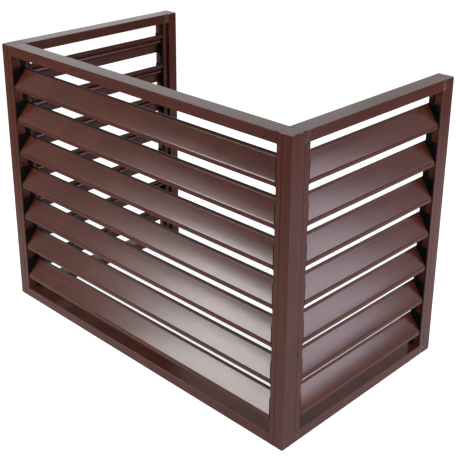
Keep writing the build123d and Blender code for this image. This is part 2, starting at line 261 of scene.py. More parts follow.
class Workpiece:
    """A mesh on the bench, shaped with Blender's own modelling operators."""

    def __init__(self, piece: bpy.types.Object) -> None:
        """Take a mesh object onto the bench."""
        self.piece = piece

    @staticmethod
    def clear_bench() -> None:
        """Leave nothing selected."""
        bpy.ops.object.select_all(action="DESELECT")

    @classmethod
    def _settle(cls, name: str) -> "Workpiece":
        """Name the primitive that was just added and put its place into its mesh.

        Args:
            name: The object's name.

        Returns:
            The primitive on the bench.
        """
        bpy.ops.object.transform_apply(location=True, rotation=True, scale=True)
        piece = bpy.context.object
        piece.name = name
        piece.data.name = name
        return cls(piece)

    @classmethod
    def block(cls, name: str, low: Vector, high: Vector) -> "Workpiece":
        """Start from a cube that fills a box.

        Args:
            name: The object's name.
            low: The box's lowest corner.
            high: Its highest corner.

        Returns:
            The block.
        """
        cls.clear_bench()
        bpy.ops.mesh.primitive_cube_add(size=1.0, location=(low + high) / 2, scale=high - low)
        return cls._settle(name)

    @classmethod
    def upright_sheet(cls, name: str, length: float, depth: float, foot: float, top: float) -> "Workpiece":
        """Start from a plane along X that faces -Y.

        Args:
            name: The object's name.
            length: Its length, with its middle at x = 0.
            depth: Its place in Y.
            foot: Its lower edge.
            top: Its upper edge.

        Returns:
            The sheet.
        """
        cls.clear_bench()
        middle = (0.0, depth, (foot + top) / 2)
        bpy.ops.mesh.primitive_plane_add(size=1.0, location=middle, rotation=(QUARTER_TURN, 0.0, 0.0))
        bpy.context.object.scale = (length, top - foot, 1.0)
        return cls._settle(name)

    @classmethod
    def rod(
        cls,
        name: str,
        radius: float,
        length: float,
        middle: Vector,
        sides: int,
        ends: str = "NGON",
    ) -> "Workpiece":
        """Start from a cylinder along X.

        Args:
            name: The object's name.
            radius: The cylinder's radius.
            length: Its length.
            middle: Its middle.
            sides: The number of its sides.
            ends: How its ends are filled, or NOTHING.

        Returns:
            The rod.
        """
        cls.clear_bench()
        bpy.ops.mesh.primitive_cylinder_add(
            vertices=sides,
            radius=radius,
            depth=length,
            end_fill_type=ends,
            location=middle,
            rotation=(0.0, QUARTER_TURN, 0.0),
        )
        return cls._settle(name)

    @classmethod
    def funnel(cls, name: str, narrow: float, wide: float, depth: float, sides: int) -> "Workpiece":
        """Start from a cone that hangs from z = 0 with its wide end up.

        Args:
            name: The object's name.
            narrow: Radius of the lower end.
            wide: Radius of the upper end.
            depth: Its height.
            sides: The number of its sides.

        Returns:
            The funnel.
        """
        cls.clear_bench()
        bpy.ops.mesh.primitive_cone_add(
            vertices=sides,
            radius1=narrow,
            radius2=wide,
            depth=depth,
            location=(0.0, 0.0, -depth / 2),
        )
        return cls._settle(name)

    @classmethod
    def copy_of(cls, source: bpy.types.Object, name: str) -> "Workpiece":
        """Copy an object with a mesh of its own.

        Args:
            source: The object.
            name: The copy's name.

        Returns:
            The copy.
        """
        piece = bpy.data.objects.new(name, source.data.copy())
        piece.data.name = name
        bpy.context.scene.collection.objects.link(piece)
        return cls(piece)

    def copy(self, name: str, placement: Matrix) -> "Workpiece":
        """Copy this piece to a place, which goes into the new mesh.

        Args:
            name: The new object's name.
            placement: Turn, mirror and move of the copy.

        Returns:
            The copy.
        """
        twin = Workpiece.copy_of(self.piece, name)
        twin.piece.data.transform(placement)
        if placement.determinant() < 0:
            twin.piece.data.flip_normals()
        return twin

    def scrap(self) -> None:
        """Throw the piece away."""
        mesh = self.piece.data
        bpy.data.objects.remove(self.piece)
        bpy.data.meshes.remove(mesh)

    def take(self) -> None:
        """Make this the one selected and active object."""
        self.clear_bench()
        bpy.context.view_layer.objects.active = self.piece
        self.piece.select_set(True)

    @property
    def corners(self) -> list[Vector]:
        """The places of the mesh's vertices."""
        return [vertex.co.copy() for vertex in self.piece.data.vertices]

    @staticmethod
    def _seen(part: bmesh.types.BMFace | bmesh.types.BMEdge) -> tuple[Vector, Vector]:
        """What a selection looks at: the middle, and the normal or direction.

        Args:
            part: A face or an edge.

        Returns:
            The middle, and the face's normal or the edge's direction.
        """
        if isinstance(part, bmesh.types.BMFace):
            return part.calc_center_median(), part.normal
        start, finish = (vertex.co for vertex in part.verts)
        return (start + finish) / 2, (finish - start).normalized()

    @contextmanager
    def _edit(self, kind: str, where: Where) -> Iterator[None]:
        """Open the mesh with some of its faces or edges selected, and close it afterwards.

        Args:
            kind: FACE or EDGE.
            where: The selection.
        """
        self.take()
        bpy.ops.object.mode_set(mode="EDIT")
        bpy.ops.mesh.select_mode(type=kind)
        bpy.ops.mesh.select_all(action="DESELECT")
        mesh = bmesh.from_edit_mesh(self.piece.data)
        parts = mesh.faces if kind == "FACE" else mesh.edges
        for part in [part for part in parts if where(*self._seen(part))]:
            part.select_set(True)
        bmesh.update_edit_mesh(self.piece.data)
        yield
        bpy.ops.object.mode_set(mode="OBJECT")

    def delete_faces(self, where: Where) -> None:
        """Delete faces."""
        with self._edit("FACE", where):
            bpy.ops.mesh.delete(type="FACE")

    def extrude_faces(self, where: Where, by: Vector) -> None:
        """Extrude faces along a vector."""
        with self._edit("FACE", where):
            bpy.ops.mesh.extrude_region_move(TRANSFORM_OT_translate={"value": by})

    def extrude_edge(self, where: Where, steps: Iterable[Vector]) -> None:
        """Extrude an edge step after step, so that it sweeps a folded sheet.

        Args:
            where: Selects the edge.
            steps: The moves, one fold after each.
        """
        with self._edit("EDGE", where):
            for step in steps:
                bpy.ops.mesh.extrude_region_move(TRANSFORM_OT_translate={"value": step})

    def inset(self, where: Where, margin: float) -> None:
        """Inset faces, which leaves the new inner face in their middle."""
        with self._edit("FACE", where):
            bpy.ops.mesh.inset(thickness=margin, use_boundary=True)

    def bevel(self, where: Where, width: float, segments: int = 1) -> None:
        """Round edges off."""
        with self._edit("EDGE", where):
            bpy.ops.mesh.bevel(offset=width, offset_type="OFFSET", segments=segments, affect="EDGES")

    def bisect(self, where: Where, axis: Axis, place: float) -> None:
        """Divide faces along the plane at a place on an axis."""
        with self._edit("FACE", where):
            bpy.ops.mesh.bisect(plane_co=unit(axis) * place, plane_no=unit(axis))

    def merge(self) -> None:
        """Merge the loose triangles of a carried-over mesh."""
        with self._edit("FACE", everywhere):
            bpy.ops.mesh.remove_doubles(threshold=CLOSE)

    def split(self) -> list["Workpiece"]:
        """Separate the solids of the mesh, one piece for each.

        Returns:
            The pieces.
        """
        self.take()
        bpy.ops.mesh.separate(type="LOOSE")
        return [Workpiece(piece) for piece in bpy.context.selected_objects]

    def modify(self, kind: str, **settings: object) -> None:
        """Add a modifier and apply it.

        Args:
            kind: The modifier's type.
            settings: Its properties.
        """
        self.take()
        modifier = self.piece.modifiers.new(kind.title(), kind)
        for key, value in settings.items():
            setattr(modifier, key, value)
        bpy.ops.object.modifier_apply(modifier=modifier.name)

    def thicken(self, wall: float) -> None:
        """Give a sheet or an open tube its wall, inwards from its faces."""
        self.modify("SOLIDIFY", thickness=wall, offset=-1.0, use_even_offset=True)

    def break_edges(self, width: float, segments: int = 2, sharp: float = 35.0) -> None:
        """Round every edge a little that turns by more than an angle in degrees."""
        settings = {"limit_method": "ANGLE", "angle_limit": math.radians(sharp), "use_clamp_overlap": True}
        self.modify("BEVEL", width=width, segments=segments, **settings)

    def cut(self, cutter: "Workpiece") -> None:
        """Take a cutter's solid away, and the cutter with it."""
        self.modify("BOOLEAN", operation="DIFFERENCE", object=cutter.piece, solver="EXACT")
        cutter.scrap()

    def join(self, others: Sequence["Workpiece"]) -> None:
        """Join other pieces to this one.

        Args:
            others: The pieces, which may be none.
        """
        if others:
            self.take()
            for other in others:
                other.piece.select_set(True)
            bpy.ops.object.join()

    def shade(self, sharp: float = 32.0) -> None:
        """Shade edges smoothly up to an angle in degrees, and keep flat stretches flat.

        Args:
            sharp: The angle from which an edge stays sharp.
        """
        self.take()
        bpy.ops.object.shade_smooth_by_angle(angle=math.radians(sharp))
        self.modify("WEIGHTED_NORMAL", keep_sharp=True)


# Shader expressions

class Socket:
    """A shader output with arithmetic, which adds Math nodes as an expression is written."""

    def __init__(self, shader: "Shader", output: bpy.types.NodeSocket | None) -> None:
        """Keep the output socket, and the shader that new nodes go into."""
        self.shader = shader
        self.output = output

    def _math(self, operation: str, first: "Socket | float", second: "Socket | float") -> "Socket":
        """The result of a Math node, for an operation that has Blender's name."""
        return self.shader.node("ShaderNodeMath", {"operation": operation}, {0: first, 1: second})

    def __add__(self, other: "Socket | float") -> "Socket":
        """Sum."""
        return self._math("ADD", self, other)

    def __sub__(self, other: "Socket | float") -> "Socket":
        """Difference."""
        return self._math("SUBTRACT", self, other)

    def __rsub__(self, other: float) -> "Socket":
        """Difference with a number on the left."""
        return self._math("SUBTRACT", other, self)

    def __mul__(self, other: "Socket | float") -> "Socket":
        """Product."""
        return self._math("MULTIPLY", self, other)

    __radd__ = __add__
    __rmul__ = __mul__

    def highest(self, other: "Socket | float") -> "Socket":
        """The greater of two values."""
        return self._math("MAXIMUM", self, other)

    def wrapped(self, period: float) -> "Socket":
        """The value less whole periods, from zero to one period."""
        return self._math("FLOORED_MODULO", self, period)

    def clamp(self) -> "Socket":
        """Keep the value between 0 and 1."""
        return self._math("MINIMUM", self.highest(0.0), 1.0)

    def spots(self, gain: float, cut: float) -> "Socket":
        """Spots where a noise is high: the value times a gain, less a cut, between 0 and 1."""
        return (self * gain - cut).clamp()


@dataclass(frozen=True)
class Noise:
    """A noise in a finish: cells for each metre, number of finer layers and how strong they are."""

    scale: float
    layers: float
    fineness: float = 0.5


def balanced(middle: float, *parts: tuple[Socket, float]) -> Socket:
    """The sum of noises with their weights, which is the middle value where every noise is 0.5."""
    first, *rest = (noise * weight for noise, weight in parts)
    return sum(rest, first) + (middle - sum(weight for _, weight in parts) / 2)


class Shader:
    """The nodes of a material or of the world, under construction."""

    def __init__(self, owner: bpy.types.Material | bpy.types.World) -> None:
        """Start with no nodes.

        Args:
            owner: The material or world.
        """
        self.owner = owner
        owner.use_nodes = True
        self.tree = owner.node_tree
        self.tree.nodes.clear()

    def node(
        self,
        kind: str,
        settings: dict[str, object] | None = None,
        inputs: dict[int | str, object] | None = None,
        output: int | str = 0,
    ) -> Socket:
        """Add one node of any kind.

        Args:
            kind: The node's type.
            settings: Its properties, which are set first.
            inputs: The value or the link of each socket.
            output: The output that is returned.

        Returns:
            That output as a socket.
        """
        made = self.tree.nodes.new(kind)
        for key, value in (settings or {}).items():
            setattr(made, key, value)
        for key, value in (inputs or {}).items():
            if isinstance(value, Socket):
                self.tree.links.new(value.output, made.inputs[key])
            else:
                made.inputs[key].default_value = value
        return Socket(self, made.outputs[output] if made.outputs else None)

    def object_place(self) -> Socket:
        """The place on the object, in metres."""
        return self.node("ShaderNodeTexCoord", output="Object")

    def ray(self, kind: str) -> Socket:
        """One for rays of a kind, such as Camera or Glossy, and zero for others."""
        return self.node("ShaderNodeLightPath", output=f"Is {kind} Ray")

    def noise(self, place: Socket, noise: Noise) -> Socket:
        """The value of a noise, around 0.5, at a place."""
        inputs = {"Vector": place, "Scale": noise.scale, "Detail": noise.layers, "Roughness": noise.fineness}
        return self.node("ShaderNodeTexNoise", {"noise_dimensions": "3D"}, inputs, "Fac")

    def blend(self, factor: Socket, first: Colour | Socket, second: Colour | Socket) -> Socket:
        """Two colours mixed, with a factor that is the share of the second one."""
        first, second = ((*c, 1.0) if isinstance(c, tuple) else c for c in (first, second))
        return self.node("ShaderNodeMix", {"data_type": "RGBA"}, {0: factor, 6: first, 7: second}, 2)

    def bump(self, height: Socket, strength: float, distance: float) -> Socket:
        """The normal for heights of 0 to 1, where 1 stands for the distance, in metres."""
        inputs = {"Height": height, "Strength": strength, "Distance": distance}
        return self.node("ShaderNodeBump", None, inputs, "Normal")

    def finish(self, inputs: dict[str, object]) -> bpy.types.Material:
        """Close the material with a Principled shader that has these inputs.

        Args:
            inputs: The shader's values and links.

        Returns:
            The finished material.
        """
        surface = self.node("ShaderNodeBsdfPrincipled", None, inputs, "BSDF")
        self.node("ShaderNodeOutputMaterial", None, {"Surface": surface})
        return self.owner


# Finishes

@dataclass(frozen=True)
class Grime:
    """Painted shade: the dark line painted along the top of each blade's upstand, which comes back at every
    pitch.
    """

    top: float
    pitch: float
    share: float
    height: float = 4.6 * MM
    edge: float = 1.0 * MM
    colour: Colour = (0.002, 0.0016, 0.0016)

    def mask(self, shader: Shader) -> Socket:
        """The painted shade's share at each height, with soft edges.

        Args:
            shader: The shader that asks.

        Returns:
            The share as a socket.
        """
        level = shader.node("ShaderNodeSeparateXYZ", None, {0: shader.object_place()}, "Z")
        above = (level - (self.top - self.height)).wrapped(self.pitch)
        start = (above * (1.0 / self.edge)).clamp()
        end = ((self.height + 2.0 * self.edge - above) * (1.0 / self.edge)).clamp()
        return start * end * self.share


@dataclass(frozen=True)
class PowderCoat:
    """Satin powder coat with an orange-peel skin, cloudy variation and the faint lines of the extrusion.

    A tint is a noise's weight in the colour, and a gloss its weight in the roughness.
    """

    name: str
    colour: Colour
    deep_colour: Colour
    roughness: float = 0.20
    specular: float = 0.15
    grain: Axis | None = None
    # Painted shade along the blades' upstands, where given.
    grime: Grime | None = None
    clouds: Noise = Noise(14.0, 3.0)
    cloud_tint: float = 1.3
    streaks: Noise = Noise(230.0, 3.0, 0.6)
    streak_stretch: float = 0.02
    streak_tint: float = 1.5
    streak_gloss: float = 0.06
    speckle: Noise = Noise(2600.0, 1.0)
    speckle_tint: float = 0.7
    speckle_gloss: float = 0.05
    smudges: Noise = Noise(60.0, 4.0, 0.62)
    smudge_gloss: float = 0.10
    peel: Noise = Noise(700.0, 2.0)
    peel_share: float = 0.75
    bump_strength: float = 0.35
    bump_height: float = 0.06 * MM
    chips: Noise = Noise(380.0, 2.0, 0.6)
    chip_gain: float = 14.0
    chip_cut: float = 8.5
    chip_share: float = 0.0
    chip_colour: Colour = (0.50, 0.42, 0.40)

    def _streaks(self, shader: Shader, place: Socket) -> Socket:
        """The lines of the extrusion, stretched along the grain.

        Args:
            shader: The shader that asks.
            place: The place on the object.

        Returns:
            The lines' noise.
        """
        stretch = Vector([self.streak_stretch if axis is self.grain else 1.0 for axis in Axis])
        inputs = {0: place, 1: stretch}
        lines = shader.node("ShaderNodeVectorMath", {"operation": "MULTIPLY"}, inputs, "Vector")
        return shader.noise(lines, self.streaks)

    def material(self) -> bpy.types.Material:
        """Build the material.

        Returns:
            The finished material.
        """
        shader = Shader(bpy.data.materials.new(self.name))
        place = shader.object_place()
        kinds = (self.clouds, self.speckle, self.peel, self.smudges)
        clouds, speckle, peel, smudges = (shader.noise(place, kind) for kind in kinds)
        streaks = self._streaks(shader, place)
        shade = balanced(
            0.5,
            (clouds, self.cloud_tint),
            (streaks, self.streak_tint),
            (speckle, self.speckle_tint),
        )
        roughness = balanced(
            self.roughness,
            (smudges, self.smudge_gloss),
            (streaks, self.streak_gloss),
            (speckle, self.speckle_gloss),
        )
        colour = shader.blend(shade.clamp(), self.deep_colour, self.colour)
        # Darken the top of each upstand with painted shade.
        if self.grime:
            colour = shader.blend(self.grime.mask(shader), colour, self.grime.colour)
        if self.chip_share:
            chipped = shader.noise(place, self.chips).spots(self.chip_gain, self.chip_cut)
            colour = shader.blend(chipped * self.chip_share, colour, self.chip_colour)
        skin = peel * self.peel_share + speckle * (1.0 - self.peel_share)
        return shader.finish({
            "Base Color": colour,
            "Roughness": roughness,
            "Specular IOR Level": self.specular,
            "Normal": shader.bump(skin, self.bump_strength, self.bump_height),
        })


@dataclass(frozen=True)
class MouldedPlastic:
    """Matt moulded plastic with a fine spark-eroded texture."""

    name: str
    colour: Colour
    pale_colour: Colour
    roughness: float = 0.6
    specular: float = 0.02
    texture: Noise = Noise(1500.0, 2.0)
    texture_tint: float = 0.4
    texture_gloss: float = 0.14
    clouds: Noise = Noise(25.0, 4.0)
    cloud_tint: float = 1.4
    bump_strength: float = 0.3
    bump_height: float = 0.04 * MM

    def material(self) -> bpy.types.Material:
        """Build the material.

        Returns:
            The finished material.
        """
        shader = Shader(bpy.data.materials.new(self.name))
        place = shader.object_place()
        texture, clouds = (shader.noise(place, kind) for kind in (self.texture, self.clouds))
        shade = balanced(0.5, (clouds, self.cloud_tint), (texture, self.texture_tint)).clamp()
        return shader.finish({
            "Base Color": shader.blend(shade, self.colour, self.pale_colour),
            "Roughness": balanced(self.roughness, (texture, self.texture_gloss)),
            "Specular IOR Level": self.specular,
            "Normal": shader.bump(texture, self.bump_strength, self.bump_height),
        })


@dataclass(frozen=True)
class PaintedSteel:
    """Screw steel under thin brown paint, with the bare metal showing in worn spots."""

    name: str
    paint: Colour
    metal: Colour = (0.42, 0.40, 0.38)
    bareness: float = 0.9
    roughness: float = 0.32
    polish: float = 0.04
    specular: float = 0.28
    grain: Noise = Noise(900.0, 4.0, 0.6)
    wear_gain: float = 6.0
    wear_cut: float = 3.9
    bump_strength: float = 0.3
    bump_height: float = 0.03 * MM

    def material(self) -> bpy.types.Material:
        """Build the material.

        Returns:
            The finished material.
        """
        shader = Shader(bpy.data.materials.new(self.name))
        grain = shader.noise(shader.object_place(), self.grain)
        wear = grain.spots(self.wear_gain, self.wear_cut)
        return shader.finish({
            "Base Color": shader.blend(wear, self.paint, self.metal),
            "Metallic": wear * self.bareness,
            "Roughness": self.roughness - wear * self.polish,
            "Specular IOR Level": self.specular,
            "Normal": shader.bump(grain, self.bump_strength, self.bump_height),
        })


BROWN = PowderCoat("reddish_brown_powder_coat", (0.059, 0.0154, 0.0090), (0.035, 0.0090, 0.0053))
CAP_BROWN = PowderCoat(
    "brown_cap_plastic",
    (0.053, 0.0150, 0.0100),
    (0.041, 0.0115, 0.0076),
    roughness=0.28,
    chip_share=0.7,
)
BLACK = MouldedPlastic("black_holder_plastic", (0.003, 0.003, 0.003), (0.007, 0.0065, 0.0065))
SCREW_PAINT = PaintedSteel("brown_painted_screw", (0.050, 0.014, 0.0095))


# Screws

@dataclass(frozen=True)
class ScrewSeat:
    """Where one screw sits, read from its carried-over solid."""

    head: Vector
    out: Vector
    head_radius: float
    shank_radius: float
    length: float
    extent: Extent

    @classmethod
    def of_solid(cls, points: Sequence[Vector]) -> "ScrewSeat":
        """Read one screw, whose head is its wider end.

        Args:
            points: The corners of its solid.

        Returns:
            The seat.
        """
        extent = Extent.around(points)
        axis = max(Axis, key=lambda one: extent.size[one.value])
        centres, radii = {}, {}
        for sign in (-1, 1):
            end = extent.limit(axis, sign)
            centres[sign] = extent.centre
            centres[sign][axis.value] = end
            ring = [point for point in points if abs(point[axis.value] - end) < CLOSE]
            radii[sign] = max((point - centres[sign]).length for point in ring)
        sign = 1 if radii[1] > radii[-1] else -1
        length = extent.size[axis.value]
        return cls(centres[sign], unit(axis, sign), radii[sign], radii[-sign], length, extent)

    @classmethod
    def read(cls, node: bpy.types.Object) -> list["ScrewSeat"]:
        """Read every screw of a carried-over node.

        Args:
            node: The node, a group of separate solids.

        Returns:
            One seat for each screw.
        """
        reading = Workpiece.copy_of(node, "screw_reading")
        reading.merge()
        solids = reading.split()
        seats = [cls.of_solid(one.corners) for one in solids]
        for one in solids:
            one.scrap()
        return seats

    @property
    def placement(self) -> Matrix:
        """Turns a screw that hangs from z = 0 onto this seat."""
        turn = self.out.to_track_quat("Z", "Y").to_matrix().to_4x4()
        return Matrix.Translation(self.head) @ turn


@dataclass(frozen=True)
class CountersunkScrew:
    """The pattern of the screws: a flat countersunk head with a cross recess."""

    head_slope: float = 1.2
    sides: int = 24
    recess_share: float = 0.56
    recess_width_share: float = 0.13
    recess_depth_share: float = 0.30
    rim: float = 0.12 * MM
    clearance: float = 0.15 * MM
    overrun: float = 1.0 * MM

    def _turned(self, name: str, seat: ScrewSeat, wider: float) -> Workpiece:
        """Head cone and shank, hanging from z = 0.

        Args:
            name: The object's name.
            seat: The screw's sizes.
            wider: How much is added to every radius.

        Returns:
            The turned solid.
        """
        depth = (seat.head_radius - seat.shank_radius) * self.head_slope
        narrow, wide = seat.shank_radius + wider, seat.head_radius + wider
        body = Workpiece.funnel(name, narrow, wide, depth, self.sides)
        body.extrude_faces(facing(unit(Axis.Z, -1)), unit(Axis.Z) * (depth - seat.length - wider))
        return body

    def model(self, seat: ScrewSeat) -> Workpiece:
        """A screw of a seat's sizes, with its head in z = 0.

        Args:
            seat: The screw's sizes.

        Returns:
            The screw.
        """
        screw = self._turned("screw", seat, 0.0)
        screw.bevel(at(Axis.Z, 0.0), self.rim)
        reach = seat.head_radius * self.recess_share
        half_width = seat.head_radius * self.recess_width_share
        depth = seat.head_radius * self.recess_depth_share
        for half_x, half_y in ((reach, half_width), (half_width, reach)):
            low = Vector((-half_x, -half_y, -depth))
            screw.cut(Workpiece.block("recess", low, Vector((half_x, half_y, self.overrun))))
        return screw

    def hole(self, seat: ScrewSeat) -> Workpiece:
        """The cutter of a screw's hole, in its place.

        Args:
            seat: The screw's seat.

        Returns:
            The cutter.
        """
        cutter = self._turned("hole", seat, self.clearance)
        cutter.extrude_faces(facing(unit(Axis.Z)), unit(Axis.Z) * self.overrun)
        placed = cutter.copy("hole_cutter", seat.placement)
        cutter.scrap()
        return placed


# The workshop

class Workshop:
    """Carried-over parts, finishes and screw seats, shared by every sub-assembly."""

    def __init__(self, frame: dict) -> None:
        self.nodes: dict[str, bpy.types.Object] = frame["nodes"]
        self.screw = CountersunkScrew()
        self.seats = {name: ScrewSeat.read(self.nodes[name]) for name in ("frame_screws", "holder_screws")}
        self.coats = {axis: self._coat(axis) for axis in Axis}
        self.finishes = {
            Slot.COAT: self.coats[Axis.Z],
            Slot.CAPS: CAP_BROWN.material(),
            Slot.BLOCKS: CAP_BROWN.material(),
            Slot.PLASTIC: BLACK.material(),
            Slot.SCREWS: SCREW_PAINT.material(),
        }

    @staticmethod
    def _coat(axis: Axis) -> bpy.types.Material:
        """The brown coat of an extrusion along an axis."""
        return replace(BROWN, name=f"{BROWN.name}_{axis.name}", grain=axis).material()

    def extent(self, node: str) -> Extent:
        """The box of a carried-over part."""
        return Extent.around(vertex.co for vertex in self.nodes[node].data.vertices)

    def drill(self, work: Workpiece) -> None:
        """Cut the holes of the screws that reach into a piece.

        Args:
            work: The piece.
        """
        box = Extent.around(work.corners)
        seats = [seat for group in self.seats.values() for seat in group if seat.extent.meets(box)]
        holes = [self.screw.hole(seat) for seat in seats]
        if holes:
            holes[0].join(holes[1:])
            work.cut(holes[0])

    def deliver(
        self,
        work: Workpiece,
        node: str,
        slot: Slot,
        coat: bpy.types.Material | None = None,
    ) -> None:
        """Dress a finished piece and let it stand for its carried-over part.

        Args:
            work: The piece.
            node: The part that it replaces.
            slot: Its material slot.
            coat: Its finish, where that isn't the slot's usual one.
        """
        work.shade()
        piece = work.piece
        piece.name = f"{node}_look"
        piece.data.name = piece.name
        piece.data.materials.clear()
        piece.data.materials.append(coat or self.finishes[slot])
        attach(piece, BODY)
        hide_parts(node)
        LOG.info("%s: %d faces, %s", piece.name, len(piece.data.polygons), slot.value)

    def keep(self, node: str, slot: Slot) -> None:
        """Dress a carried-over part that stays as it is.

        Args:
            node: The part.
            slot: Its material slot.
        """
        mesh = self.nodes[node].data
        mesh.materials.clear()
        mesh.materials.append(self.finishes[slot])
        LOG.info("%s: kept, %s", node, slot.value)


# Sub-assemblies

@dataclass(frozen=True)
class TubeStock:
    """Rectangular aluminium tube."""

    wall: float
    corner: float
    corner_segments: int = 3

    def shell(self, name: str, extent: Extent, axis: Axis) -> Workpiece:
        """The outer skin of a length of tube, open at both ends and without a wall yet.

        Args:
            name: The object's name.
            extent: The box of the tube.
            axis: The direction of its length.

        Returns:
            The skin.
        """
        tube = Workpiece.block(name, extent.low, extent.high)
        tube.delete_faces(along(axis))
        tube.bevel(along(axis), self.corner, self.corner_segments)
        return tube

    def supply(self, shop: Workshop, node: str, axis: Axis) -> None:
        """Make, drill and deliver a plain length of tube.

        Args:
            shop: The workshop.
            node: The part that it replaces.
            axis: The direction of its length.
        """
        tube = self.shell(node, shop.extent(node), axis)
        tube.thicken(self.wall)
        shop.drill(tube)
        shop.deliver(tube, node, Slot.COAT, shop.coats[axis])


@dataclass(frozen=True)
class Corner:
    """One of the eight corners where a side rail, a stile and a post meet."""

    side: Side
    end: End
    level: Level

    @property
    def block(self) -> str:
        """The node of the corner's block."""
        return f"{self.side.word}_{self.end.word}_{self.level.word}_corner_block"

    @property
    def rail(self) -> str:
        """The node of its side rail."""
        return f"{self.side.word}_{self.level.word}_rail"

    @property
    def stile(self) -> str:
        """The node of its stile."""
        return f"{self.side.word}_{self.end.word}_stile"


@dataclass(frozen=True)
class Posts:
    """Four corner posts, with a fine seam up the front face of the front ones."""

    stock: TubeStock = TubeStock(wall=1.6 * MM, corner=0.9 * MM)
    seam_from_corner: float = 23.5 * MM
    seam_width: float = 1.2 * MM
    seam_depth: float = 0.6 * MM
    window_margin: float = 0.2 * MM

    def build(self, shop: Workshop) -> None:
        """Build the posts."""
        for side, end in product(Side, End):
            self._post(shop, side, end)

    def _post(self, shop: Workshop, side: Side, end: End) -> None:
        """One post, with windows that take the tongues of the corner blocks.

        Args:
            shop: The workshop.
            side: Its side.
            end: Its end of the side panel.
        """
        node = f"{end.word}_{side.word}_post"
        extent = shop.extent(node)
        post = self.stock.shell(node, extent, Axis.Z)
        if end is End.FRONT:
            self._groove(post, extent.limit(Axis.X, side.value) - side.value * self.seam_from_corner)
        post.thicken(self.stock.wall)
        margin = Vector((self.window_margin,) * 3)
        for level in Level:
            tongue = CornerBlocks.post_tongue(shop, Corner(side, end, level))
            post.cut(Workpiece.block("window", tongue.low - margin, tongue.high + margin))
        shop.drill(post)
        shop.deliver(post, node, Slot.COAT)

    def _groove(self, post: Workpiece, middle: float) -> None:
        """The seam, from a strip of the front face that is pushed in.

        Args:
            post: The post's skin.
            middle: The seam's place in X.
        """
        front = facing(unit(Axis.Y, -1))
        half = self.seam_width / 2
        for shift in (-half, half):
            post.bisect(front, Axis.X, middle + shift)
        post.extrude_faces(all_of(front, at(Axis.X, middle, half)), unit(Axis.Y) * self.seam_depth)
        post.delete_faces(along(Axis.Z))


@dataclass(frozen=True)
class Caps:
    """Plastic caps that close the posts at the top and on the ground."""

    plate: float = 2.0 * MM
    corner: float = 2.4 * MM
    corner_segments: int = 5
    edge: float = 0.6 * MM
    edge_segments: int = 2
    skirt_margin: float = 1.85 * MM
    skirt_wall: float = 1.8 * MM
    core_reach: float = 1.0 * MM

    def build(self, shop: Workshop) -> None:
        """Build the caps."""
        for end, side, level in product(End, Side, Level):
            self._cap(shop, f"{end.word}_{side.word}_{level.word}_cap", level)

    def _cap(self, shop: Workshop, node: str, level: Level) -> None:
        """One cap: a plate with a hollow skirt that goes into the post.

        Args:
            shop: The workshop.
            node: Its name.
            level: Whether it lies on the post or under it.
        """
        extent = shop.extent(node)
        outer = extent.limit(Axis.Z, level.value)
        low, high = extent.low.copy(), extent.high.copy()
        low.z, high.z = sorted((outer, outer - level.value * self.plate))
        cap = Workpiece.block(node, low, high)
        cap.bevel(along(Axis.Z), self.corner, self.corner_segments)
        cap.bevel(at(Axis.Z, outer), self.edge, self.edge_segments)
        under = facing(unit(Axis.Z, -level.value))
        cap.inset(under, self.skirt_margin)
        core = all_of(under, near_line(Axis.Z, extent.centre, self.core_reach))
        skirt = unit(Axis.Z, level.value) * (extent.size.z - self.plate)
        cap.extrude_faces(core, -skirt)
        cap.inset(core, self.skirt_wall)
        cap.extrude_faces(core, skirt)
        shop.deliver(cap, node, Slot.CAPS)


@dataclass(frozen=True)
class Rails:
    """The top and bottom rails of the three panels."""

    stock: TubeStock = TubeStock(wall=1.5 * MM, corner=0.8 * MM)

    def build(self, shop: Workshop) -> None:
        """Build the rails.

        Args:
            shop: The workshop.
        """
        for level in Level:
            self.stock.supply(shop, f"front_{level.word}_rail", Axis.X)
            for side in Side:
                self.stock.supply(shop, f"{side.word}_{level.word}_rail", Axis.Y)
        shop.keep("front_rail_plugs", Slot.PLASTIC)


@dataclass(frozen=True)
class Stiles:
    """The slim stiles at the ends of the side panels."""

    stock: TubeStock = TubeStock(wall=1.4 * MM, corner=0.8 * MM)

    def build(self, shop: Workshop) -> None:
        """Build the stiles."""
        for side, end in product(Side, End):
            self.stock.supply(shop, f"{side.word}_{end.word}_stile", Axis.Z)


